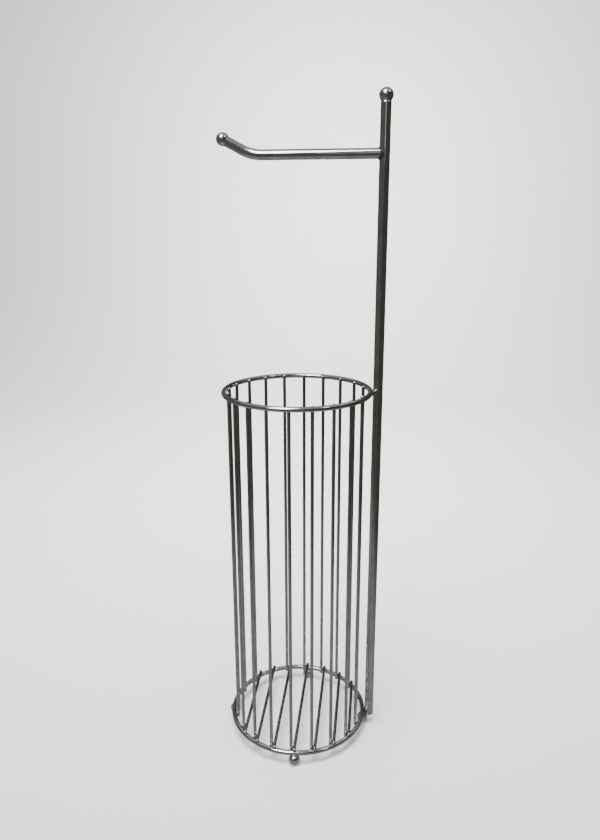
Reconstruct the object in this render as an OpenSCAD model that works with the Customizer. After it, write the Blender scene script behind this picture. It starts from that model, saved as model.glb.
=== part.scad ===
// Free-standing toilet roll holder, welded from steel wire and tube.
// A round wire basket holds spare rolls on end; a post outside its rings carries the roll in use
// on an arm. Millimetres. +Z is up, the floor is z = 0, the basket's axis is x = y = 0, the post
// stands on the +X side and the arm runs from it towards -X, across the basket.

/* [Basket] */
// Diameter of the two basket rings, through the middle of their wire
ring_d = 140; // [125:1:170]
// Thickness of the wire that the two rings are bent from
ring_wire_d = 5; // [4:0.5:6]
// Height of the basket, between the middles of its two rings
basket_h = 356; // [240:1:420]
// Thickness of the upright wires and of the floor rods
wire_d = 3.4; // [2.6:0.1:3.6]
// How far an upright's rounded end runs past the middle of each ring
upright_over = 2; // [1:0.1:2.4]
// How far the floor rods' rounded ends stand out past the middle of the bottom ring
rod_over = 2; // [1:0.1:2.4]
// Diameter of the ball feet
foot_d = 11.2; // [10:0.1:14]

/* [Post] */
// Outside diameter of the post tube
post_d = 9.3; // [9.2:0.1:12]
// Wall thickness of the post tube and of the arm tube
tube_wall = 1; // [0.8:0.1:1.4]
// How much wider than the post the ball on top of it is
finial_over = 3.1; // [3:0.1:6]
// Height of that ball's middle above the arm's axis
finial_above_arm = 46.4; // [25:0.1:80]
// How far the post's lower end reaches below the middle of the bottom ring
post_below_ring = 3; // [2.6:0.1:3.2]

/* [Roll arm] */
// Outside diameter of the arm tube, a little under the post's
arm_d = 9.1; // [8:0.1:9.1]
// Height of the arm's axis above the middle of the top ring
arm_above_basket = 212.4; // [120:0.1:260]
// Length of the arm's level stretch, from the post's axis to the start of the bend
arm_straight = 106.9; // [90:0.1:125]
// Radius of the bend, along the middle of the tube
bend_r = 40; // [20:1:50]
// How far the arm's end is bent up from level, in degrees
bend_angle = 28; // [15:1:45]
// Length from the end of the bend to the middle of the tip ball
arm_end = 18.5; // [12:0.1:30]
// How much wider than the arm the ball on its tip is
tip_over = 2.7; // [2.4:0.1:6]

/* [Welds] */
// Depth that two parts melt into each other where they are welded
weld_bite = 0.2; // [0.1:0.05:0.3]
// Depth that the bottom ring melts into each foot
foot_bite = 0.8; // [0.4:0.1:1]
// Width of the weld fillet where the arm meets the post
fillet = 1.4; // [1:0.1:2]
// Radius of the weld bead between the post and the top ring
top_bead_r = 3.2; // [2.8:0.1:3.6]
// Radius of the smaller weld bead between the post and the bottom ring
bottom_bead_r = 2.6; // [2.4:0.1:2.8]

/* [Hidden] */
$fn = 64;
// Places around the rings: the post has the first one, and an upright each of the others
PLACES = 20;
STEP_ANGLE = 360 / PLACES;
UPRIGHTS = PLACES - 1;
// The floor rods run beside the uprights at these places, counted from the post
FIRST_ROD_PLACE = 2;
FLOOR_RODS = 7;

function two_digits(i) = str(i < 10 ? "0" : "", i);
function upright_name(i) = str("upright_", two_digits(i));
function rod_name(i) = str("floor_rod_", i);

ring_r = ring_d / 2;
ring_wire_r = ring_wire_d / 2;
post_r = post_d / 2;
arm_r = arm_d / 2;
finial_d = post_d + finial_over;
tip_d = arm_d + tip_over;
post_bore_d = post_d - 2 * tube_wall;
arm_bore_d = arm_d - 2 * tube_wall;

// Heights of the middles of the rings, of the arm's axis and of the finial
base_z = foot_d + ring_wire_r - foot_bite;
top_z = base_z + basket_h;
arm_z = top_z + arm_above_basket;
finial_z = arm_z + finial_above_arm;

// The uprights stand inside the rings and the post outside them, each let in by the weld bite
upright_r = ring_r - ring_wire_r - wire_d / 2 + weld_bite;
post_x = ring_r + ring_wire_r + post_r - weld_bite;

// The floor rods lie on the bottom ring, a hair's breadth clear of the uprights beside them
rod_z = base_z + ring_wire_r + wire_d / 2 - weld_bite;
rod_gap = 0.1;
rod_shift = wire_d + rod_gap;
rod_reach_r = ring_r + rod_over;

// The plug's shallow dome closes the tube below its cut end
plug_dome_h = 1.2;
plug_depth = 8;
post_cut_z = base_z - post_below_ring + plug_dome_h;

// Spigots on the balls and the plug slide into the tubes with this clearance on the diameter
spigot_play = 0.1;
spigot_depth = 14;
post_top_gap = post_d / 4;

// Where the arm's bend starts, and the middle of the ball on its tip
bend_x = post_x - arm_straight;
bend_end_x = bend_x - bend_r * sin(bend_angle);
bend_end_z = arm_z + bend_r * (1 - cos(bend_angle));
tip_x = bend_end_x - arm_end * cos(bend_angle);
tip_z = bend_end_z + arm_end * sin(bend_angle);
// The bend runs on by this many degrees over the straight end, which is drawn a hair thinner, so
// that the two are one body with a clean edge between them
bend_overlap = 0.5;
end_draw = 0.04;

// The arm's fillet keeps a thin edge instead of running out to nothing
fillet_edge = 0.2;
fillet_start = post_r - 1.2;
bottom_bead_lift = 1;

// ---- Shapes used by more than one part ----

// A ring of wire, its middle at height z
module wire_ring(z) {
    translate([0, 0, z])
        rotate_extrude()
            translate([ring_r, 0])
                circle(r = ring_wire_r);
}

// A straight wire along +Z from the origin, its two ends rounded
module round_ended_wire(length) {
    end_r = wire_d / 2;
    translate([0, 0, end_r])
        sphere(r = end_r);
    translate([0, 0, end_r])
        cylinder(r = end_r, h = length - wire_d);
    translate([0, 0, length - end_r])
        sphere(r = end_r);
}

// The post's outside, as a full bar as long as the tube
module post_bar() {
    translate([post_x, 0, post_cut_z])
        cylinder(d = post_d, h = finial_z - post_top_gap - post_cut_z);
}

// A bar of diameter d along the arm's whole path, from the post's axis to the tip ball's middle.
// It is laid out around the bend's own middle, where the bend begins at angle 0.
module arm_bar(d) {
    translate([bend_x, 0, arm_z + bend_r])
        rotate([-90, 0, 0])
            rotate([0, 0, 90]) {
                translate([bend_r, 0, 0])
                    rotate([90, 0, 0])
                        cylinder(d = d, h = arm_straight);
                rotate_extrude(angle = bend_angle + bend_overlap)
                    translate([bend_r, 0])
                        circle(d = d);
                rotate([0, 0, bend_angle])
                    translate([bend_r, 0, 0])
                        rotate([-90, 0, 0])
                            cylinder(d = d - end_draw, h = arm_end);
            }
}

module finial_sphere() {
    translate([post_x, 0, finial_z])
        sphere(d = finial_d);
}

module tip_sphere() {
    translate([tip_x, 0, tip_z])
        sphere(d = tip_d);
}

// A ball foot under the bottom ring, with its groove where the ring has melted in
module ball_foot(x, y) {
    color("gainsboro")
        difference() {
            translate([x, y, foot_d / 2])
                sphere(d = foot_d);
            wire_ring(base_z);
        }
}

// ---- Basket ----

module top_ring() {
    color("silver")
        wire_ring(top_z);
}

module bottom_ring() {
    color("silver")
        wire_ring(base_z);
}

// Upright wire number i, counted from the post, with its two weld seats in the rings' inner side
module upright(i) {
    color("darkgray")
        difference() {
            rotate([0, 0, i * STEP_ANGLE])
                translate([upright_r, 0, base_z - upright_over])
                    round_ended_wire(basket_h + 2 * upright_over);
            wire_ring(base_z);
            wire_ring(top_z);
        }
}

// Floor rod number i, lying across the bottom ring along Y
module floor_rod(i) {
    x = upright_r * cos((i + FIRST_ROD_PLACE - 1) * STEP_ANGLE) + rod_shift;
    half = sqrt(rod_reach_r * rod_reach_r - x * x);
    color("darkgray")
        difference() {
            translate([x, half, rod_z])
                rotate([90, 0, 0])
                    round_ended_wire(2 * half);
            wire_ring(base_z);
        }
}

// The front and back feet sit under the middle floor rod's two ends
foot_side_y = sqrt(ring_r * ring_r - rod_shift * rod_shift);

module foot_front() {
    ball_foot(rod_shift, -foot_side_y);
}

module foot_back() {
    ball_foot(rod_shift, foot_side_y);
}

module foot_left() {
    ball_foot(-ring_r, 0);
}

module foot_right() {
    ball_foot(ring_r, 0);
}

// ---- Post ----

// The tube's top end is coped to the finial, and its side is let in to both rings
module post_tube() {
    color("dimgray")
        difference() {
            post_bar();
            translate([post_x, 0, post_cut_z - 1])
                cylinder(d = post_bore_d, h = finial_z - post_cut_z);
            finial_sphere();
            wire_ring(base_z);
            wire_ring(top_z);
        }
}

module post_finial() {
    color("gainsboro") {
        finial_sphere();
        translate([post_x, 0, finial_z - finial_d / 2 - spigot_depth])
            cylinder(d = post_bore_d - spigot_play, h = finial_d / 2 + spigot_depth);
    }
}

// A pressed plug: a shank in the bore, and a shallow dome that covers the tube's cut end
module post_end_plug() {
    dome_r = (post_r * post_r + plug_dome_h * plug_dome_h) / (2 * plug_dome_h);
    color("dimgray") {
        translate([post_x, 0, post_cut_z - plug_dome_h / 2])
            cylinder(d = post_bore_d - spigot_play, h = plug_depth);
        intersection() {
            translate([post_x, 0, post_cut_z - plug_dome_h + dome_r])
                sphere(r = dome_r);
            translate([post_x, 0, post_cut_z - plug_dome_h])
                cylinder(d = post_d, h = plug_dome_h);
        }
    }
}

// ---- Roll arm ----

// The tube is coped to the post at one end and to the tip ball at the other
module roll_arm() {
    color("dimgray")
        difference() {
            arm_bar(arm_d);
            arm_bar(arm_bore_d);
            post_bar();
            tip_sphere();
        }
}

module arm_tip_ball() {
    color("gainsboro") {
        tip_sphere();
        translate([tip_x, 0, tip_z])
            rotate([0, bend_angle + 90, 0])
                cylinder(d = arm_bore_d - spigot_play, h = arm_end - 1);
    }
}

// ---- Welds ----

// The fillet around the arm's root: a short collar, then a hollow curve down to the arm
module arm_weld() {
    color("slategray")
        difference() {
            translate([post_x, 0, arm_z])
                rotate([0, -90, 0])
                    rotate_extrude()
                        difference() {
                            translate([arm_r, fillet_start])
                                square([fillet, post_r - fillet_start + fillet]);
                            translate([arm_r + fillet + fillet_edge, post_r + fillet + fillet_edge])
                                circle(r = fillet);
                        }
            post_bar();
        }
}

// A bead in the narrow gap between a ring and the post, too small for coarse facets
module ring_bead(z, lift, r) {
    $fn = 240;
    color("slategray")
        difference() {
            translate([post_x - post_r, 0, z + lift])
                sphere(r = r);
            wire_ring(z);
            post_bar();
        }
}

module top_ring_weld() {
    ring_bead(top_z, 0, top_bead_r);
}

module bottom_ring_weld() {
    ring_bead(base_z, bottom_bead_lift, bottom_bead_r);
}

top_ring();
bottom_ring();
for (i = [1:UPRIGHTS])
    upright(i);
for (i = [1:FLOOR_RODS])
    floor_rod(i);
foot_front();
foot_back();
foot_left();
foot_right();
post_tube();
post_finial();
post_end_plug();
roll_arm();
arm_tip_ball();
arm_weld();
top_ring_weld();
bottom_ring_weld();
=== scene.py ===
"""Free-standing toilet roll holder of bright-plated steel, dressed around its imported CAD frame.

A round wire basket on four ball feet holds spare rolls. A tube post with a ball finial is welded
to the outside of the basket's two rings, and a level arm with an upturned, ball-tipped end runs
from it across the basket. Lengths are in metres, +Z is up and the post stands on the +X side.
"""

from __future__ import annotations

import logging
import math
from collections.abc import Sequence
from dataclasses import dataclass, field
from enum import Enum
from typing import Protocol

import bmesh
import bpy
from mathutils import Matrix, Vector, kdtree, noise

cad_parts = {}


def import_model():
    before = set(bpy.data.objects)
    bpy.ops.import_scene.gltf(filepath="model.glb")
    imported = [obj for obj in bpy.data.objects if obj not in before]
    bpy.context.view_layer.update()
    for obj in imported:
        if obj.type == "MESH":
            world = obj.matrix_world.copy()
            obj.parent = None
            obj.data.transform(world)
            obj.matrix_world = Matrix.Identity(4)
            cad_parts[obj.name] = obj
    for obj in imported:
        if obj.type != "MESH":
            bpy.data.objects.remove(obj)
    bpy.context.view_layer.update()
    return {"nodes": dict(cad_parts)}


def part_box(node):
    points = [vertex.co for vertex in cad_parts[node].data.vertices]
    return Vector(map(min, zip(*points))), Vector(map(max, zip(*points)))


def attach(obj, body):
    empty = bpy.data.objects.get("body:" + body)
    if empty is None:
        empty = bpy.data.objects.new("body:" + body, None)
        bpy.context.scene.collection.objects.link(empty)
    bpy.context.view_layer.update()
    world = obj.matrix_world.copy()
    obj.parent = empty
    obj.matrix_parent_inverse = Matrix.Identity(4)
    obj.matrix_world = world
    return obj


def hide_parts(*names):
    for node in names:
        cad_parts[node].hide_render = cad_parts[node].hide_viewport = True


LOG = logging.getLogger("roll_holder")

MM = 0.001
BODY = "root"
GRAIN = "grain"
HEAT = "heat"
UP = Vector((0.0, 0.0, 1.0))
MERGE = 1e-7
NOISE_SPAN = (0.3, 0.7)
WIRE_BITE = 0.2 * MM  # how deep the uprights are melted into the rings
ARM_BEND = math.radians(28)
ARM_BEND_R = 40 * MM
COLLAR_R = 1.1 * MM  # the hollow fillet between a ball and the bar that carries it
COLLAR_SKIN = 0.08 * MM  # how far that fillet stands proud of the bar
BALL_ROUNDS = 64
BALL_STEPS = 40
TIP_STEPS = 8
BEAD_R = 1.0 * MM  # beads start as balls of this size and are stretched from there

Vert = bmesh.types.BMVert
Edge = bmesh.types.BMEdge
Mesh = bmesh.types.BMesh
Socket = bpy.types.NodeSocket
Material = bpy.types.Material
Triple = tuple[float, float, float]
Tint = Triple | Socket


class Slot(Enum):
    """The record's material slots."""

    RING = "ring_wire"
    WIRE = "basket_wire"
    TUBE = "tube"
    BALL = "polished_ball"
    WELD = "weld"


# ---- Reading sizes from the frame ----


@dataclass(frozen=True)
class Extent:
    """The box that one CAD node fills at rest."""

    low: Vector
    high: Vector

    @classmethod
    def of(cls, node: str) -> Extent:
        """The extent of a CAD node."""
        low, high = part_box(node)
        return cls(Vector(low), Vector(high))

    @property
    def middle(self) -> Vector:
        """The box's middle."""
        return (self.low + self.high) / 2

    @property
    def size(self) -> Vector:
        """The box's three side lengths."""
        return self.high - self.low


# ---- Which way the drawn grain runs, and where the welds heated the metal ----


class Flow(Protocol):
    """Coordinates that follow a bar: two across it and one along it."""

    def at(self, point: Vector) -> Vector:
        """(across, across, along) for a point on the bar."""


@dataclass(frozen=True)
class StraightFlow:
    """Grain that runs straight along one direction."""

    origin: Vector
    direction: Vector

    def at(self, point: Vector) -> Vector:
        """Where a point lies along and across a straight bar.

        Args:
            point: A point on the bar.

        Returns:
            (across, across, along).
        """
        side = self.direction.orthogonal().normalized()
        other = self.direction.cross(side)
        offset = point - self.origin
        return Vector((offset.dot(side), offset.dot(other), offset.dot(self.direction)))


@dataclass(frozen=True)
class RingFlow:
    """Grain that runs round a ring about the Z axis, mirrored so that it meets itself."""

    radius: float
    height: float

    def at(self, point: Vector) -> Vector:
        """Where a point lies along and across a ring's wire.

        Args:
            point: A point on the wire.

        Returns:
            (across, across, along).
        """
        out = math.hypot(point.x, point.y) - self.radius
        turn = abs(math.atan2(point.y, point.x))
        return Vector((out, point.z - self.height, self.radius * turn))


@dataclass
class WeldMap:
    """The places where the holder is welded, each with a patch of heat-tinted metal around it."""

    spots: list[Vector]
    reach: float = 2.6 * MM
    _tree: kdtree.KDTree = field(init=False, repr=False)

    def __post_init__(self) -> None:
        self._tree = kdtree.KDTree(len(self.spots))
        for index, spot in enumerate(self.spots):
            self._tree.insert(spot, index)
        self._tree.balance()

    def heat(self, point: Vector) -> float:
        """How strongly a point is tinted, from 0 far away to 1 in a weld.

        Args:
            point: A place on the metal.

        Returns:
            A bell-shaped falloff with the distance to the nearest weld.
        """
        _, _, distance = self._tree.find(point)
        return math.exp(-((distance / self.reach) ** 2))


# ---- Mesh work ----


def arc(centre: Vector, radius: float, start: float, end: float, steps: int) -> list[Vector]:
    """Points along an arc in the (radius, height) plane of a turned outline.

    Args:
        centre: The arc's middle, as (radius, height).
        radius: The arc's radius.
        start: First angle in degrees, 0 outwards and 90 upwards.
        end: Last angle in degrees.
        steps: How many pieces the arc is cut into.

    Returns:
        The steps + 1 points of the arc.
    """
    angles = (math.radians(start + (end - start) * i / steps) for i in range(steps + 1))
    return [centre + Vector((math.cos(a), math.sin(a))) * radius for a in angles]


def stations(start: float, end: float, steps: int) -> list[float]:
    """Evenly spaced values between two ends, without the ends themselves."""
    return [start + (end - start) * i / steps for i in range(1, steps)]


def collared_ball(radius: float, bar_r: float) -> list[Vector]:
    """The outline of a ball with a hollow fillet down to the bar that carries it.

    Args:
        radius: The ball's radius.
        bar_r: The radius of the bar below the ball.

    Returns:
        The outline, from the bottom of the fillet to the top of the ball.
    """
    out = bar_r + COLLAR_R + COLLAR_SKIN
    drop = math.sqrt((radius + COLLAR_R) ** 2 - out**2)
    meet = math.degrees(math.atan2(-drop, out))
    base = [Vector((0.0, -drop)), Vector((bar_r + COLLAR_SKIN, -drop))]
    hollow = arc(Vector((out, -drop)), COLLAR_R, 180, 180 + meet, TIP_STEPS)
    return base + hollow[1:] + arc(Vector((0.0, 0.0)), radius, meet, 90, BALL_STEPS)[1:]


def spin_round(bm: Mesh, shape: list[Vert | Edge], steps: int) -> None:
    """Spins vertices and edges once round the Z axis.

    Args:
        bm: The mesh that they belong to.
        shape: The vertices and edges.
        steps: How many faces go round.
    """
    bmesh.ops.spin(
        bm, geom=shape, cent=(0.0, 0.0, 0.0), axis=UP, angle=math.tau, steps=steps, use_merge=True
    )


def spun_outline(outline: Sequence[Vector], steps: int) -> Mesh:
    """Spins an outline of (radius, height) points once round the Z axis.

    Args:
        outline: The outline, from one end to the other.
        steps: How many faces go round.

    Returns:
        A mesh of its own, with its seam and poles closed.
    """
    part = bmesh.new()
    points = [part.verts.new((p.x, 0.0, p.y)) for p in outline]
    edges = [part.edges.new(pair) for pair in zip(points, points[1:])]
    spin_round(part, points + edges, steps)
    bmesh.ops.remove_doubles(part, verts=part.verts, dist=MERGE)
    return part


def extrude_loop(bm: Mesh, edges: list[Edge]) -> tuple[list[Vert], list[Edge]]:
    """Extrudes a loop of edges and leaves the new loop where it is.

    Args:
        bm: The mesh that the loop belongs to.
        edges: The loop.

    Returns:
        The new loop's vertices and edges.
    """
    made = bmesh.ops.extrude_edge_only(bm, edges=edges)["geom"]
    verts = [g for g in made if isinstance(g, Vert)]
    rim = [g for g in made if isinstance(g, Edge) and all(v in verts for v in g.verts)]
    return verts, rim


def smooth_object(name: str, bm: Mesh) -> bpy.types.Object:
    """Turns a finished bmesh into an object with smooth shading.

    Args:
        name: The object's name.
        bm: The bmesh, which is used up.

    Returns:
        The new object, unturned at the origin.
    """
    for face in bm.faces:
        face.smooth = True
    mesh = bpy.data.meshes.new(name)
    bm.to_mesh(mesh)
    bm.free()
    made = bpy.data.objects.new(name, mesh)
    bpy.context.scene.collection.objects.link(made)
    return made


class Shaper:
    """Builds up one piece's shape in the shared frame."""

    def __init__(self) -> None:
        """Starts with an empty mesh."""
        self.bm = bmesh.new()

    def turned(self, outline: Sequence[Vector], steps: int, place: Matrix) -> list[Vert]:
        """Adds an outline of (radius, height) points, spun once round its own Z axis.

        Args:
            outline: The outline, from one end of the axis to the other.
            steps: How many faces go round.
            place: Where the turned shape goes.

        Returns:
            The vertices of the turned shape.
        """
        part = spun_outline(outline, steps)
        bmesh.ops.transform(part, matrix=place, verts=part.verts)
        bmesh.ops.recalc_face_normals(part, faces=part.faces)
        known = len(self.bm.verts)
        spare = bpy.data.meshes.new("spare")
        part.to_mesh(spare)
        part.free()
        self.bm.from_mesh(spare)
        bpy.data.meshes.remove(spare)
        self.bm.verts.ensure_lookup_table()
        return list(self.bm.verts[known:])

    def ball(self, centre: Vector, radius: float, rounds: int) -> list[Vert]:
        """Adds a turned ball whose poles lie on the Z axis."""
        outline = arc(Vector((0.0, 0.0)), radius, -90, 90, rounds // 2)
        return self.turned(outline, rounds, Matrix.Translation(centre))

    def rod(
        self, start: Vector, end: Vector, radius: float, rounds: int, cuts: Sequence[float]
    ) -> None:
        """Adds a straight rod with round ends.

        Args:
            start: The very tip of one end.
            end: The very tip of the other end.
            radius: The rod's radius.
            rounds: How many faces go round it.
            cuts: Distances from start at which it has a ring of vertices.
        """
        length = (end - start).length
        outline = arc(Vector((0.0, radius)), radius, -90, 0, TIP_STEPS)
        outline += [Vector((radius, cut)) for cut in cuts if radius < cut < length - radius]
        outline += arc(Vector((0.0, length - radius)), radius, 0, 90, TIP_STEPS)
        turn = (end - start).to_track_quat("Z", "Y").to_matrix().to_4x4()
        self.turned(outline, rounds, Matrix.Translation(start) @ turn)


# ---- Finishes ----


class Nodes:
    """A short way to lay out a node tree."""

    def __init__(self, tree: bpy.types.NodeTree) -> None:
        """Clears the tree."""
        self.tree = tree
        tree.nodes.clear()

    def feed(self, socket: Socket, value: object) -> None:
        """Links an input socket to an output, or sets its value.

        Args:
            socket: The input socket.
            value: An output socket or a plain value.
        """
        if isinstance(value, Socket):
            self.tree.links.new(value, socket)
        else:
            socket.default_value = value

    def add(self, kind: str, **inputs: object) -> bpy.types.Node:
        """Adds a node.

        Args:
            kind: The node's type, without its ShaderNode prefix.
            inputs: Input values or output sockets, by input name with _ for a space.

        Returns:
            The new node.
        """
        node = self.tree.nodes.new("ShaderNode" + kind)
        for key, value in inputs.items():
            self.feed(node.inputs[key.replace("_", " ")], value)
        return node

    def maths(self, operation: str, *terms: float | Socket) -> Socket:
        """Adds a Math node.

        Args:
            operation: Blender's name for the sum.
            terms: Its inputs, in order.

        Returns:
            The result's socket.
        """
        node = self.tree.nodes.new("ShaderNodeMath")
        node.operation = operation
        for socket, term in zip(node.inputs, terms):
            self.feed(socket, term)
        return node.outputs[0]

    def stored(self, name: str, output: str) -> Socket:
        """Reads a value stored on the mesh.

        Args:
            name: The attribute's name.
            output: Which of the node's outputs is wanted.

        Returns:
            The value's socket.
        """
        node = self.tree.nodes.new("ShaderNodeAttribute")
        node.attribute_name = name
        return node.outputs[output]

    def ranged(self, value: Socket, low: float, high: float) -> Socket:
        """A noise value, of which the part that NOISE_SPAN gives is spread over a range of its own."""
        start, end = NOISE_SPAN
        node = self.add("MapRange", Value=value, From_Min=start, From_Max=end, To_Min=low, To_Max=high)
        return node.outputs["Result"]

    def blend(self, factor: Socket, first: Tint, second: Tint) -> Socket:
        """Mixes two colours by a factor.

        Args:
            factor: 0 gives the first colour and 1 the second.
            first: A colour, or the socket it comes from.
            second: Another colour, or the socket it comes from.

        Returns:
            The mixed colour's socket.
        """
        node = self.tree.nodes.new("ShaderNodeMix")
        node.data_type = "RGBA"
        self.feed(node.inputs["Factor"], factor)
        for key, tint in (("A", first), ("B", second)):
            self.feed(node.inputs[key], tint if isinstance(tint, Socket) else (*tint, 1.0))
        return node.outputs["Result"]

    def split(self, plain: bpy.types.Node, mirrored: bpy.types.Node) -> Socket:
        """Shows polished metal something else than it shows the camera and the paper.

        Args:
            plain: The shader that the camera and the paper see.
            mirrored: The shader that is mirrored in the metal.

        Returns:
            The split shader's socket.
        """
        pick = self.tree.nodes.new("ShaderNodeMixShader")
        self.feed(pick.inputs[0], self.add("LightPath").outputs["Is Glossy Ray"])
        self.feed(pick.inputs[1], plain.outputs[0])
        self.feed(pick.inputs[2], mirrored.outputs[0])
        return pick.outputs[0]


@dataclass(frozen=True)
class PlatedSteel:
    """Drawn steel under bright plating, with faint lines along it and heat tint at its welds."""

    name: str
    light: Triple
    dark: Triple
    smooth: float
    rough: float
    line_depth: float
    line_width: float = 0.35 * MM
    line_length: float = 30 * MM
    cloud: float = 14 * MM
    tint: Triple = (0.17, 0.145, 0.12)
    stain: tuple[float, float] = (0.45, 0.85)  # share of the tint that shows, by cloud
    burnt: float = 0.5  # roughness that a weld adds
    patchy: tuple[float, float] = (0.8, 1.2)  # what the clouds multiply the roughness by

    def material(self) -> Material:
        """Builds the finish.

        Returns:
            The finish as a material.
        """
        made = bpy.data.materials.new(self.name)
        made.use_nodes = True
        nodes = Nodes(made.node_tree)
        place = nodes.add("TexCoord").outputs["Object"]
        grain = nodes.stored(GRAIN, "Vector")
        heat = nodes.stored(HEAT, "Fac")
        across, along = 1 / self.line_width, 1 / self.line_length
        lines_at = nodes.add("Mapping", Vector=grain, Scale=(across, across, along)).outputs["Vector"]
        lines = nodes.add(
            "TexNoise", Vector=lines_at, Scale=1.0, Detail=3.0, Roughness=0.6
        ).outputs["Fac"]
        clouds = nodes.add(
            "TexNoise", Vector=place, Scale=1 / self.cloud, Detail=4.0, Roughness=0.55
        ).outputs["Fac"]
        steel = nodes.blend(nodes.ranged(clouds, 0.0, 1.0), self.dark, self.light)
        stain = nodes.maths("MULTIPLY", heat, nodes.ranged(clouds, *self.stain))
        colour = nodes.blend(stain, steel, self.tint)
        drawn = nodes.ranged(lines, self.smooth, self.rough)
        burnt = nodes.maths("MULTIPLY", heat, self.burnt)
        wear = nodes.maths("MULTIPLY_ADD", drawn, nodes.ranged(clouds, *self.patchy), burnt)
        relief = nodes.add("Bump", Height=lines, Strength=1.0, Distance=self.line_depth)
        shader = nodes.add(
            "BsdfPrincipled",
            Base_Color=colour,
            Metallic=1.0,
            Roughness=wear,
            Normal=relief.outputs["Normal"],
        )
        nodes.add("OutputMaterial", Surface=shader.outputs["BSDF"])
        return made


@dataclass(frozen=True)
class WeldMetal:
    """Weld metal under the plating: rippled, pitted and duller than the wire beside it."""

    name: str = "weld_metal"
    bright: Triple = (0.085, 0.082, 0.077)
    dull: Triple = (0.035, 0.031, 0.027)
    smooth: float = 0.46
    rough: float = 0.7
    ripple: float = 0.9 * MM
    ripple_share: float = 2.0
    pit: float = 0.35 * MM
    depth: float = 0.05 * MM

    def material(self) -> Material:
        """Builds the finish.

        Returns:
            The finish as a material.
        """
        made = bpy.data.materials.new(self.name)
        made.use_nodes = True
        nodes = Nodes(made.node_tree)
        place = nodes.add("TexCoord").outputs["Object"]
        ripples = nodes.add(
            "TexNoise", Vector=place, Scale=1 / self.ripple, Detail=2.0, Distortion=0.6
        ).outputs["Fac"]
        pits = nodes.add("TexVoronoi", Vector=place, Scale=1 / self.pit).outputs["Distance"]
        height = nodes.maths("MULTIPLY_ADD", ripples, self.ripple_share, pits)
        relief = nodes.add("Bump", Height=height, Strength=0.8, Distance=self.depth)
        shader = nodes.add(
            "BsdfPrincipled",
            Base_Color=nodes.blend(nodes.ranged(ripples, 0.0, 1.0), self.dull, self.bright),
            Metallic=1.0,
            Roughness=nodes.ranged(pits, self.smooth, self.rough),
            Normal=relief.outputs["Normal"],
        )
        nodes.add("OutputMaterial", Surface=shader.outputs["BSDF"])
        return made


@dataclass
class Workshop:
    """Makes shapes into dressed pieces, and keeps count of them."""

    welds: WeldMap
    finishes: dict[Slot, Material] = field(init=False)
    pieces: list[bpy.types.Object] = field(default_factory=list)

    def __post_init__(self) -> None:
        """Makes one material for each slot."""
        ring = PlatedSteel(
            "plated_ring_wire", (0.63, 0.63, 0.62), (0.53, 0.53, 0.52), 0.06, 0.12, 0.0012 * MM
        )
        wire = PlatedSteel(
            "plated_basket_wire", (0.57, 0.57, 0.555), (0.46, 0.46, 0.445), 0.07, 0.15, 0.0016 * MM
        )
        tube = PlatedSteel(
            "plated_tube", (0.59, 0.585, 0.57), (0.50, 0.495, 0.48), 0.06, 0.13, 0.0014 * MM
        )
        ball = PlatedSteel(
            "plated_ball", (0.66, 0.66, 0.655), (0.58, 0.58, 0.575), 0.04, 0.08, 0.0008 * MM,
            line_width=0.6 * MM, line_length=0.9 * MM,
        )
        self.finishes = {
            Slot.RING: ring.material(),
            Slot.WIRE: wire.material(),
            Slot.TUBE: tube.material(),
            Slot.BALL: ball.material(),
            Slot.WELD: WeldMetal().material(),
        }

    def finish(self, shape: Shaper, name: str, flow: Flow, slot: Slot, *nodes: str) -> None:
        """Makes a shape into a piece, with its grain and heat stored on its points.

        Args:
            shape: The shape, which is used up.
            name: The piece's name.
            flow: Which way its grain runs.
            slot: The record's slot that its finish comes from.
            nodes: The CAD nodes that it replaces, if any.
        """
        bmesh.ops.remove_doubles(shape.bm, verts=shape.bm.verts, dist=MERGE)
        bmesh.ops.recalc_face_normals(shape.bm, faces=shape.bm.faces)
        piece = smooth_object(name, shape.bm)
        mesh = piece.data
        places = [vertex.co.copy() for vertex in mesh.vertices]
        grain = [value for place in places for value in flow.at(place)]
        mesh.attributes.new(GRAIN, "FLOAT_VECTOR", "POINT")
        mesh.attributes.new(HEAT, "FLOAT", "POINT")
        mesh.attributes[GRAIN].data.foreach_set("vector", grain)
        mesh.attributes[HEAT].data.foreach_set("value", [self.welds.heat(place) for place in places])
        mesh.materials.append(self.finishes[slot])
        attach(piece, BODY)
        if nodes:
            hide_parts(*nodes)
        self.pieces.append(piece)
        LOG.info("%s: %d vertices, replaces %s", name, len(mesh.vertices), nodes or "nothing")


# ---- The basket ----


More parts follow.
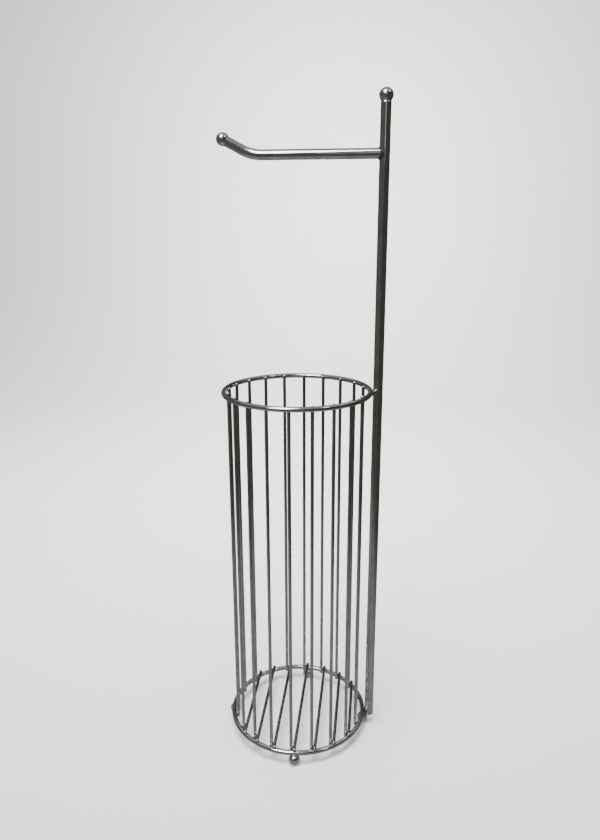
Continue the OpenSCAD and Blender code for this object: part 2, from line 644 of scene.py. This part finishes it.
@dataclass(frozen=True)
class WireRing:
    """One of the basket's two rings: round wire, bent into a circle and butt-welded."""

    node: str
    radius: float
    height: float
    wire_r: float
    seam_turn: float = math.radians(63)
    seam_width: float = 1.3 * MM
    seam_rise: float = 0.07
    seam_flat: float = 0.9  # beyond this share of its radius, up or down, the wire stays plain
    around: int = 360
    rounds: int = 24

    @classmethod
    def from_frame(cls, node: str) -> WireRing:
        """Reads a ring's sizes from its CAD node.

        Args:
            node: The node's name.

        Returns:
            The ring, ready to build.
        """
        extent = Extent.of(node)
        wire_r = extent.size.z / 2
        return cls(node, extent.size.y / 2 - wire_r, extent.middle.z, wire_r)

    def build(self, shop: Workshop) -> None:
        """Spins the wire's section round the basket's axis and raises the butt weld's flash.

        Args:
            shop: Finishes the piece.
        """
        shaper = Shaper()
        turn = Matrix.Rotation(math.pi / 2, 4, "X")
        place = Matrix.Translation((self.radius, 0.0, self.height)) @ turn
        section = bmesh.ops.create_circle(
            shaper.bm, cap_ends=False, segments=self.rounds, radius=self.wire_r, matrix=place
        )["verts"]
        spin_round(shaper.bm, section + list(shaper.bm.edges), self.around)
        for vertex in shaper.bm.verts:
            vertex.co = self._with_flash(vertex.co)
        flow = RingFlow(self.radius, self.height)
        shop.finish(shaper, self.node + "_wire", flow, Slot.RING, self.node)

    def _with_flash(self, point: Vector) -> Vector:
        """Thickens the wire at its butt weld.

        Args:
            point: A point on the plain wire.

        Returns:
            The same point on the welded wire.
        """
        if abs(point.z - self.height) > self.seam_flat * self.wire_r:
            return point
        turn = math.atan2(point.y, point.x)
        middle = Vector((math.cos(turn), math.sin(turn), 0.0)) * self.radius + UP * self.height
        away = (turn - self.seam_turn) * self.radius / self.seam_width
        swell = 1 + self.seam_rise * math.exp(-(away**2))
        return middle + (point - middle) * swell


@dataclass(frozen=True)
class Basket:
    """The two rings, the upright wires inside them, the floor rods and the ball feet."""

    top: WireRing
    bottom: WireRing
    uprights: list[Extent]
    rods: list[Extent]
    feet: dict[str, Extent]
    end_cut: float = 1.0 * MM
    end_cuts: int = 8
    long_cuts: int = 40
    rounds: int = 24
    foot_rounds: int = 48
    bead_rounds: int = 16
    upright_bead: Triple = (1.2, 2.0, 1.8)  # half depth, width and height, in BEAD_R
    rod_bead: Triple = (1.9, 2.2, 1.0)
    bead_lump: float = 0.22
    bead_grain: float = 900  # lumps to the metre

    @classmethod
    def from_frame(cls, names: Sequence[str]) -> Basket:
        """Reads the basket's sizes from the CAD nodes.

        Args:
            names: Every CAD node's name.

        Returns:
            The basket, ready to build.
        """
        return cls(
            top=WireRing.from_frame("top_ring"),
            bottom=WireRing.from_frame("bottom_ring"),
            uprights=[Extent.of(n) for n in sorted(names) if n.startswith("upright_")],
            rods=[Extent.of(n) for n in sorted(names) if n.startswith("floor_rod_")],
            feet={n: Extent.of(n) for n in sorted(names) if n.startswith("foot_")},
        )

    def weld_spots(self) -> list[Vector]:
        """Finds where the uprights, rods and feet meet the rings.

        Returns:
            The spots: first the uprights', two to each, and then the rods' and the feet's.
        """
        spots = []
        for wire in self.uprights:
            out = Vector((wire.middle.x, wire.middle.y, 0.0)).normalized()
            for ring in (self.bottom, self.top):
                spots.append(out * (ring.radius - ring.wire_r) + UP * ring.height)
        for rod in self.rods:
            for side in (-1, 1):
                y = side * math.sqrt(self.bottom.radius**2 - rod.middle.x**2)
                spots.append(Vector((rod.middle.x, y, self.bottom.height + self.bottom.wire_r)))
        under = self.bottom.height - self.bottom.wire_r
        for foot in self.feet.values():
            spots.append(Vector((foot.middle.x, foot.middle.y, under)))
        return spots

    def wire_tips(self) -> list[Vector]:
        """Finds the rounded tips of the uprights and rods, which the welding also heated.

        Returns:
            The tips, two to each wire.
        """
        tips = []
        for wire in self.uprights:
            tips += [Vector((wire.middle.x, wire.middle.y, z)) for z in (wire.low.z, wire.high.z)]
        for rod in self.rods:
            tips += [Vector((rod.middle.x, y, rod.middle.z)) for y in (rod.low.y, rod.high.y)]
        return tips

    def build(self, shop: Workshop) -> None:
        """Builds every piece of the basket.

        Args:
            shop: Finishes the pieces.
        """
        self.top.build(shop)
        self.bottom.build(shop)
        self._build_wires(shop)
        self._build_feet(shop)
        self._build_spot_welds(shop)

    def _cuts(self, length: float) -> list[float]:
        """Spaces a wire's rings of vertices: close by its welded ends and wide between them.

        Args:
            length: The wire's length.

        Returns:
            The rings' distances from its first tip.
        """
        near = [self.end_cut * i for i in range(2, 2 + self.end_cuts)]
        far = [length - cut for cut in reversed(near)]
        return near + stations(near[-1], far[0], self.long_cuts) + far

    def _build_wires(self, shop: Workshop) -> None:
        """Builds the uprights, and the rods that the rolls stand on, each between its round ends.

        Args:
            shop: Finishes the pieces.
        """
        radius = self.rods[0].size.x / 2
        reach = self.top.radius - self.top.wire_r - radius + WIRE_BITE
        runs = []
        for number, wire in enumerate(self.uprights, start=1):
            spot = Vector((wire.middle.x, wire.middle.y, 0.0)).normalized() * reach
            ends = spot + UP * wire.low.z, spot + UP * wire.high.z
            runs.append((f"upright_wire_{number:02d}", f"upright_{number:02d}", *ends))
        for number, rod in enumerate(self.rods, start=1):
            height = rod.high.z - radius
            ends = (Vector((rod.middle.x, y, height)) for y in (rod.low.y, rod.high.y))
            runs.append((f"floor_wire_{number}", f"floor_rod_{number}", *ends))
        for name, node, start, end in runs:
            run = end - start
            shaper = Shaper()
            shaper.rod(start, end, radius, self.rounds, self._cuts(run.length))
            shop.finish(shaper, name, StraightFlow(start, run.normalized()), Slot.WIRE, node)

    def _build_feet(self, shop: Workshop) -> None:
        """Builds each ball foot.

        Args:
            shop: Finishes the pieces.
        """
        for node, foot in self.feet.items():
            radius = foot.size.y / 2
            centre = Vector((foot.middle.x, foot.middle.y, foot.low.z + radius))
            shaper = Shaper()
            shaper.ball(centre, radius, self.foot_rounds)
            shop.finish(shaper, node + "_ball", StraightFlow(centre, UP), Slot.BALL, node)

    def _build_spot_welds(self, shop: Workshop) -> None:
        """Builds the small beads that were squeezed out where wire meets ring.

        Args:
            shop: Finishes the piece.
        """
        shaper = Shaper()
        upright_spots = 2 * len(self.uprights)
        for index, spot in enumerate(self.weld_spots()):
            bead = shaper.ball(spot, BEAD_R, self.bead_rounds)
            stretch = self.upright_bead if index < upright_spots else self.rod_bead
            out = Vector((spot.x, spot.y, 0.0)).normalized()
            along = UP.cross(out)
            for vertex in bead:
                offset = vertex.co - spot
                grain = offset * self.bead_grain + Vector((index, 0.0, 0.0))
                lump = 1 + self.bead_lump * noise.noise(grain)
                parts = (out * offset.dot(out), along * offset.dot(along), UP * offset.z)
                vertex.co = spot + sum((p * s for p, s in zip(parts, stretch)), Vector()) * lump
        shop.finish(shaper, "spot_weld_beads", StraightFlow(Vector(), UP), Slot.WELD)


# ---- The post and the roll arm ----


@dataclass(frozen=True)
class Post:
    """The tube that stands outside the rings, its finial ball and its closed lower end."""

    axis: Vector
    radius: float
    foot_z: float
    dome_z: float
    finial_z: float
    finial_r: float
    wall: float = 1.0 * MM
    lip: float = 0.35 * MM
    seat_drop: float = 0.6 * MM  # from the outer to the inner edge of the finial's seat
    plug_gap: float = 0.3 * MM  # how far the end plug stays in from the tube's outside
    rounds: int = 48
    rows: int = 300
    lip_steps: int = 5
    dome_steps: int = 12

    @classmethod
    def from_frame(cls) -> Post:
        """Reads the post's sizes from its CAD nodes.

        Returns:
            The post, ready to build.
        """
        tube, ball, plug = (Extent.of(n) for n in ("post_tube", "post_finial", "post_end_plug"))
        ball_r = ball.size.y / 2
        return cls(
            axis=Vector((tube.middle.x, tube.middle.y, 0.0)),
            radius=tube.size.y / 2,
            foot_z=tube.low.z,
            dome_z=plug.low.z,
            finial_z=ball.high.z - ball_r,
            finial_r=ball_r,
        )

    def at(self, height: float) -> Vector:
        """The point on the post's axis at a height."""
        return self.axis + UP * height

    def build(self, shop: Workshop) -> None:
        """Builds the tube, the end plug and the finial.

        Args:
            shop: Finishes the pieces.
        """
        self._build_tube(shop)
        self._build_plug(shop)
        self._build_finial(shop)

    def _build_tube(self, shop: Workshop) -> None:
        """Turns the tube, from its rounded lower edge up to the finial's seat.

        Args:
            shop: Finishes the piece.
        """
        seat = self.finial_z - math.sqrt(self.finial_r**2 - self.radius**2)
        start = self.foot_z + self.lip
        bore = self.radius - self.wall
        outline = [Vector((bore, start))]
        outline += arc(Vector((self.radius - self.lip, start)), self.lip, -90, 0, self.lip_steps)
        outline += [Vector((self.radius, z)) for z in stations(start, seat, self.rows)]
        outline += [Vector((self.radius, seat)), Vector((bore, seat - self.seat_drop))]
        shaper = Shaper()
        shaper.turned(outline, self.rounds, Matrix.Translation(self.axis))
        ends = [edge for edge in shaper.bm.edges if edge.is_boundary]
        bmesh.ops.holes_fill(shaper.bm, edges=ends)
        shop.finish(shaper, "post_bar", StraightFlow(self.axis, UP), Slot.TUBE, "post_tube")

    def _build_plug(self, shop: Workshop) -> None:
        """Turns the shallow dome that closes the tube's lower end.

        Args:
            shop: Finishes the piece.
        """
        rise = self.foot_z - self.dome_z
        rim = self.radius - self.plug_gap
        bend = (rim**2 + rise**2) / (2 * rise)
        sweep = math.degrees(math.asin(rim / bend))
        top = self.foot_z + self.lip
        middle = Vector((0.0, self.dome_z + bend))
        dome = arc(middle, bend, -90, -90 + sweep, self.dome_steps)
        dome += [Vector((rim, top)), Vector((0.0, top))]
        shaper = Shaper()
        shaper.turned(dome, self.rounds, Matrix.Translation(self.axis))
        shop.finish(shaper, "post_end_dome", StraightFlow(self.axis, UP), Slot.TUBE, "post_end_plug")

    def _build_finial(self, shop: Workshop) -> None:
        """Turns the ball on top of the post.

        Args:
            shop: Finishes the piece.
        """
        centre = self.at(self.finial_z)
        outline = collared_ball(self.finial_r, self.radius)
        shaper = Shaper()
        shaper.turned(outline, BALL_ROUNDS, Matrix.Translation(centre))
        shop.finish(shaper, "finial_ball", StraightFlow(centre, UP), Slot.BALL, "post_finial")


@dataclass(frozen=True)
class RollArm:
    """The tube arm: level from the post, then bent up to a ball tip."""

    root: Vector
    radius: float
    bend_x: float
    bend_r: float
    bend_angle: float
    tip: Vector
    tip_r: float
    rounds: int = 48
    level_rows: int = 60
    bend_rows: int = 28
    end_rows: int = 12

    @classmethod
    def from_frame(cls, post: Post) -> RollArm:
        """Works the arm's path out from its CAD nodes.

        Args:
            post: The post that the arm grows from.

        Returns:
            The arm, ready to build.
        """
        bar, ball = Extent.of("roll_arm"), Extent.of("arm_tip_ball")
        radius, tip_r = bar.size.y / 2, ball.size.y / 2
        axis_z = bar.low.z + radius
        tip = Vector((ball.low.x + tip_r, 0.0, ball.high.z - tip_r))
        rise = tip.z - axis_z
        end = (rise - ARM_BEND_R * (1 - math.cos(ARM_BEND))) / math.sin(ARM_BEND)
        bend_x = tip.x + end * math.cos(ARM_BEND) + ARM_BEND_R * math.sin(ARM_BEND)
        return cls(post.at(axis_z), radius, bend_x, ARM_BEND_R, ARM_BEND, tip, tip_r)

    @property
    def bend_centre(self) -> Vector:
        """The middle of the bend's circle."""
        return Vector((self.bend_x, 0.0, self.root.z + self.bend_r))

    @property
    def end_direction(self) -> Vector:
        """Which way the upturned end points."""
        return Vector((-math.cos(self.bend_angle), 0.0, math.sin(self.bend_angle)))

    @property
    def end_length(self) -> float:
        """Length of the straight stretch between the bend and the ball's middle."""
        down = Vector((-math.sin(self.bend_angle), 0.0, -math.cos(self.bend_angle)))
        return (self.tip - (self.bend_centre + down * self.bend_r)).length

    def at(self, point: Vector) -> Vector:
        """Where a point lies along and across the arm, so that the grain follows the bend.

        Args:
            point: A point on the arm.

        Returns:
            (across, across, along).
        """
        if point.x >= self.bend_x:
            return Vector((point.y, point.z - self.root.z, self.root.x - point.x))
        level = self.root.x - self.bend_x
        offset = point - self.bend_centre
        turned = math.atan2(-offset.x, -offset.z)
        if turned <= self.bend_angle:
            across = self.bend_r - math.hypot(offset.x, offset.z)
            return Vector((point.y, across, level + self.bend_r * turned))
        back = point - self.tip
        normal = self.end_direction.cross(Vector((0.0, 1.0, 0.0)))
        span = level + self.bend_r * self.bend_angle + self.end_length
        return Vector((point.y, -back.dot(normal), span + back.dot(self.end_direction)))

    def build(self, shop: Workshop) -> None:
        """Builds the tube and its ball.

        Args:
            shop: Finishes the pieces.
        """
        self._build_tube(shop)
        self._build_ball(shop)

    def _build_tube(self, shop: Workshop) -> None:
        """Extrudes and spins the tube along its path.

        Args:
            shop: Finishes the piece.
        """
        shaper = Shaper()
        bm = shaper.bm
        start = self.root - Vector((self.radius / 2, 0.0, 0.0))
        place = Matrix.Translation(start) @ Matrix.Rotation(-math.pi / 2, 4, "Y")
        bmesh.ops.create_circle(
            bm, cap_ends=True, segments=self.rounds, radius=self.radius, matrix=place
        )
        level = Vector((self.bend_x - start.x, 0.0, 0.0))
        edges = self._extend(bm, list(bm.edges), level, self.level_rows)
        spun = bmesh.ops.spin(
            bm,
            geom=edges + list(dict.fromkeys(v for edge in edges for v in edge.verts)),
            cent=self.bend_centre,
            axis=(0.0, 1.0, 0.0),
            angle=self.bend_angle,
            steps=self.bend_rows,
        )["geom_last"]
        edges = [g for g in spun if isinstance(g, Edge)]
        edges = self._extend(bm, edges, self.end_direction * self.end_length, self.end_rows)
        bmesh.ops.holes_fill(bm, edges=edges)
        shop.finish(shaper, "arm_bar", self, Slot.TUBE, "roll_arm")

    def _build_ball(self, shop: Workshop) -> None:
        """Turns the ball on the arm's tip.

        Args:
            shop: Finishes the piece.
        """
        turn = self.end_direction.to_track_quat("Z", "Y").to_matrix().to_4x4()
        outline = collared_ball(self.tip_r, self.radius)
        shaper = Shaper()
        shaper.turned(outline, BALL_ROUNDS, Matrix.Translation(self.tip) @ turn)
        flow = StraightFlow(self.tip, self.end_direction)
        shop.finish(shaper, "tip_ball", flow, Slot.BALL, "arm_tip_ball")

    @staticmethod
    def _extend(bm: Mesh, edges: list[Edge], way: Vector, rows: int) -> list[Edge]:
        """Lengthens the tube straight ahead.

        Args:
            bm: The tube's mesh.
            edges: The loop at its open end.
            way: How far it goes on, and which way.
            rows: How many rows of faces that takes.

        Returns:
            The loop at its new end.
        """
        for _ in range(rows):
            verts, edges = extrude_loop(bm, edges)
            bmesh.ops.translate(bm, verts=verts, vec=way / rows)
        return edges


@dataclass(frozen=True)
class Welds:
    """The weld metal that shows: the arm's fillet and the beads between rings and post."""

    post: Post
    arm: RollArm
    rings: tuple[WireRing, WireRing]
    fillet: float = 1.5 * MM
    fine: tuple[float, int] = (0.10, 17)  # a ripple's height and its waves to the turn
    broad: tuple[float, int] = (0.06, 5)
    root_drop: float = 0.6 * MM  # how far the buried last row lies in the arm
    root_back: float = 0.8 * MM  # and in the post
    rounds: int = 72
    rows: int = 7
    bead_rounds: int = 40
    bead_depth: float = 2.8  # half of it, in BEAD_R
    bead_lump: float = 0.16
    bead_grain: float = 1100
    bead_shift: float = 100  # gives each ring's bead lumps of its own

    def build(self, shop: Workshop) -> None:
        """Builds the fillet and both beads.

        Args:
            shop: Finishes the pieces.
        """
        self._build_arm_fillet(shop)
        for ring, node in zip(self.rings, ("bottom_ring_weld", "top_ring_weld")):
            self._build_bead(shop, ring, node)

    def _build_arm_fillet(self, shop: Workshop) -> None:
        """Lays a rippled, hollow fillet along the saddle where the arm meets the post.

        Args:
            shop: Finishes the piece.
        """
        shaper = Shaper()
        place = Matrix.Translation(self.arm.root) @ Matrix.Rotation(-math.pi / 2, 4, "Y")
        ring = bmesh.ops.create_circle(
            shaper.bm, cap_ends=False, segments=self.rounds, radius=self.arm.radius, matrix=place
        )["verts"]
        edges = list(shaper.bm.edges)
        rows = [list(ring)]
        for _ in range(self.rows + 1):
            verts, edges = extrude_loop(shaper.bm, edges)
            rows.append(verts)
        for number, row in enumerate(rows):
            for vertex in row:
                vertex.co = self._fillet_point(vertex.co, number)
        rims = [edge for edge in shaper.bm.edges if edge.is_boundary]
        bmesh.ops.bridge_loops(shaper.bm, edges=rims)
        shop.finish(shaper, "arm_weld_fillet", StraightFlow(self.arm.root, UP), Slot.WELD, "arm_weld")

    def _fillet_point(self, point: Vector, row: int) -> Vector:
        """Where a point of the fillet lies.

        Args:
            point: A point on the first ring, which gives the direction round the arm.
            row: 0 to rows runs from the arm's side to the post's side; the last row is buried.

        Returns:
            The point's place.
        """
        offset = point - self.arm.root
        side = Vector((0.0, offset.y, offset.z)).normalized()
        turn = math.atan2(side.z, side.y)
        ripples = sum(height * math.sin(turn * waves) for height, waves in (self.fine, self.broad))
        size = self.fillet * (1 + ripples)
        if row > self.rows:
            out, forward = self.arm.radius - self.root_drop, -self.root_back
        else:
            quarter = math.pi / 2 * row / self.rows
            out = self.arm.radius + size * (1 - math.cos(quarter))
            forward = size * (1 - math.sin(quarter))
        across = side * out
        depth = math.sqrt(max(self.post.radius**2 - across.y**2, 0.0))
        return self.arm.root + across - Vector((depth + forward, 0.0, 0.0))

    def _build_bead(self, shop: Workshop, ring: WireRing, node: str) -> None:
        """Fills the narrow gap between a ring and the post with a lumpy bead.

        Args:
            shop: Finishes the piece.
            ring: The ring that is welded to the post.
            node: The weld's CAD node.
        """
        extent = Extent.of(node)
        centre = Vector((self.post.axis.x - self.post.radius, 0.0, extent.middle.z))
        shaper = Shaper()
        bead = shaper.ball(centre, BEAD_R, self.bead_rounds)
        stretch = Vector((self.bead_depth, extent.size.y / 2 / BEAD_R, extent.size.z / 2 / BEAD_R))
        for vertex in bead:
            offset = vertex.co - centre
            grain = offset * self.bead_grain + UP * ring.height * self.bead_shift
            lump = 1 - self.bead_lump * abs(noise.noise(grain))
            vertex.co = centre + Vector(o * s for o, s in zip(offset, stretch)) * lump
        shop.finish(shaper, node + "_bead", StraightFlow(centre, UP), Slot.WELD, node)


# ---- The studio ----


def hang(name: str, data: bpy.types.Light, place: Triple, aim: Triple) -> bpy.types.Object:
    """Hangs a light that the camera doesn't see and points it at its aim.

    Args:
        name: The light's name.
        data: What kind of light it is.
        place: Where it hangs.
        aim: The point that it lights.

    Returns:
        The light, which still shows in the metal.
    """
    light = bpy.data.objects.new(name, data)
    light.location = place
    facing = Vector(place) - Vector(aim)
    light.rotation_euler = facing.to_track_quat("Z", "Y").to_euler()
    light.visible_camera = False
    bpy.context.scene.collection.objects.link(light)
    return light


@dataclass(frozen=True)
class SoftBox:
    """A rectangular soft light, which shows in the metal."""

    name: str
    place: Triple
    aim: Triple
    width: float
    length: float
    power: float
    colour: Triple = (1.0, 1.0, 1.0)

    def build(self) -> None:
        """Makes the light and hangs it."""
        data = bpy.data.lights.new(self.name, "AREA")
        data.shape = "RECTANGLE"
        data.size, data.size_y = self.width, self.length
        data.energy = self.power
        data.color = self.colour
        hang(self.name, data, self.place, self.aim)


@dataclass(frozen=True)
class Pool:
    """A soft-edged pool of light on the sweep behind the holder, which the metal doesn't show."""

    name: str
    place: Triple
    aim: Triple
    spread: float
    power: float
    lamp_r: float = 0.8

    def build(self) -> None:
        """Makes the light and hangs it."""
        data = bpy.data.lights.new(self.name, "SPOT")
        data.spot_size = math.radians(self.spread)
        data.spot_blend = 1.0
        data.shadow_soft_size = self.lamp_r
        data.energy = self.power
        hang(self.name, data, self.place, self.aim).visible_glossy = False


@dataclass(frozen=True)
class Sweep:
    """A pale round floor that curves up into a low wall all round, with no line between them."""

    floor_r: float = 1.5
    bend: float = 0.9
    top: float = 2.0
    rounds: int = 96
    bend_steps: int = 24
    paper: float = 0.80
    near_glow: float = 0.31  # what the metal sees of the floor close by
    left_glow: Triple = (0.125, 0.125, 0.118)  # and of the walls on either side
    right_glow: Triple = (0.075, 0.066, 0.055)
    near_r: float = 0.22  # where the near glow starts to fade
    far_r: float = 0.72
    near_x: float = -0.12
    side_x: float = 0.6  # how far to either side the walls' glow goes on changing

    def build(self) -> None:
        """Spins the sweep's outline, turns its faces inwards and papers it."""
        curve = arc(Vector((self.floor_r, self.bend)), self.bend, -90, 0, self.bend_steps)
        outline = [Vector((0.0, 0.0)), *curve, Vector((self.floor_r + self.bend, self.top))]
        bm = spun_outline(outline, self.rounds)
        bmesh.ops.recalc_face_normals(bm, faces=bm.faces)
        bmesh.ops.reverse_faces(bm, faces=bm.faces)
        sweep = smooth_object("studio_sweep", bm)
        sweep.data.materials.append(self._paper())

    def _paper(self) -> Material:
        """Builds pale paper that the metal sees as a dim room with a lit patch of floor.

        Returns:
            The paper as a material.
        """
        made = bpy.data.materials.new("sweep_paper")
        made.use_nodes = True
        nodes = Nodes(made.node_tree)
        place = nodes.add("TexCoord").outputs["Object"]
        paper = nodes.add("BsdfDiffuse", Color=(self.paper, self.paper, self.paper, 1.0))
        offset = nodes.add("VectorMath", Vector=place)
        offset.operation = "DISTANCE"
        offset.inputs[1].default_value = (self.near_x, 0.0, 0.0)
        distance = offset.outputs["Value"]
        fade = nodes.add("MapRange", Value=distance, From_Min=self.near_r, From_Max=self.far_r)
        fade.interpolation_type = "SMOOTHSTEP"
        side = nodes.add("SeparateXYZ", Vector=place).outputs["X"]
        turn = nodes.add("MapRange", Value=side, From_Min=-self.side_x, From_Max=self.side_x)
        walls = nodes.blend(turn.outputs["Result"], self.left_glow, self.right_glow)
        glow = nodes.blend(fade.outputs["Result"], (self.near_glow,) * 3, walls)
        room = nodes.add("Emission", Color=glow, Strength=1.0)
        nodes.add("OutputMaterial", Surface=nodes.split(paper, room))
        made.cycles.emission_sampling = "NONE"
        return made


@dataclass(frozen=True)
class Ceiling:
    """What is above the sweep: pale for the paper, a cool grey ceiling for the metal."""

    pale: float = 0.2
    overhead: Triple = (0.40, 0.42, 0.46)
    low: Triple = (0.10, 0.10, 0.095)
    edge: tuple[float, float] = (0.45, 0.72)  # slopes at which low gives way to overhead

    def build(self) -> None:
        """Sets the world up."""
        world = bpy.data.worlds.new("studio_ceiling")
        bpy.context.scene.world = world
        world.use_nodes = True
        nodes = Nodes(world.node_tree)
        direction = nodes.add("TexCoord").outputs["Object"]
        rise = nodes.add("SeparateXYZ", Vector=direction).outputs["Z"]
        start, end = self.edge
        height = nodes.add("MapRange", Value=rise, From_Min=start, From_Max=end).outputs["Result"]
        seen = nodes.blend(height, self.low, self.overhead)
        pale = nodes.add("Background", Color=(1.0, 1.0, 1.0, 1.0), Strength=self.pale)
        grey = nodes.add("Background", Color=seen, Strength=1.0)
        nodes.add("OutputWorld", Surface=nodes.split(pale, grey))


@dataclass(frozen=True)
class Viewpoint:
    """The camera, in front of the holder and a little above its middle."""

    azimuth: float = math.radians(6.44)
    out: float = 0.6438
    up: float = 0.5226
    heading: float = math.radians(6.20)
    look_down: float = math.radians(15.85)
    roll: float = math.radians(-0.16)
    lens: float = 29.56

    def build(self) -> None:
        """Stands the camera up and makes it the scene's own."""
        data = bpy.data.cameras.new("camera")
        data.lens = self.lens
        data.clip_start, data.clip_end = 0.05, 100.0
        camera = bpy.data.objects.new("camera", data)
        spot = Vector((math.sin(self.azimuth), -math.cos(self.azimuth), 0.0)) * self.out
        turn = (
            Matrix.Rotation(self.heading, 4, "Z")
            @ Matrix.Rotation(math.pi / 2 - self.look_down, 4, "X")
            @ Matrix.Rotation(self.roll, 4, "Z")
        )
        camera.matrix_world = Matrix.Translation(spot + UP * self.up) @ turn
        bpy.context.scene.collection.objects.link(camera)
        bpy.context.scene.camera = camera


@dataclass(frozen=True)
class Studio:
    """Everything around the holder."""

    parts: tuple[Sweep | Ceiling | Viewpoint | SoftBox | Pool, ...] = (
        Sweep(),
        Ceiling(),
        Viewpoint(),
        SoftBox("key_box", (-0.46, -1.05, 1.86), (0.0, 0.0, 0.55), 0.9, 1.4, 48),
        SoftBox("low_window", (0.2, -2.0, 1.0), (0.0, 0.0, 0.6), 0.7, 0.5, 0.5),
        SoftBox(
            "corner_lamp", (1.15, -0.73, 1.75), (0.0, 0.0, 0.5), 0.24, 0.24, 2.2, (1.0, 0.86, 0.66)
        ),
        Pool("floor_pool", (-0.1, 0.1, 2.3), (-0.05, 0.85, 0.0), 64, 720),
        Pool("wall_pool", (-0.15, 0.3, 1.6), (-0.05, 2.4, 0.7), 64, 640),
    )

    def build(self) -> None:
        """Sets up the sweep, the ceiling, the camera and the lights."""
        for part in self.parts:
            part.build()


def main() -> None:
    """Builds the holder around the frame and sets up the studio."""
    logging.basicConfig(level=logging.INFO, format="%(name)s: %(message)s")
    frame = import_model()

    basket = Basket.from_frame(list(frame["nodes"]))
    post = Post.from_frame()
    arm = RollArm.from_frame(post)
    spots = basket.weld_spots() + basket.wire_tips()
    post_side = post.axis - Vector((post.radius, 0.0, 0.0))
    spots += [post_side + UP * ring.height for ring in (basket.bottom, basket.top)]
    spots += [arm.root - Vector((post.radius, 0.0, 0.0))]

    shop = Workshop(WeldMap(spots))
    basket.build(shop)
    post.build(shop)
    arm.build(shop)
    Welds(post, arm, (basket.bottom, basket.top)).build(shop)
    Studio().build()
    LOG.info("%d pieces", len(shop.pieces))


if __name__ == "__main__":
    main()
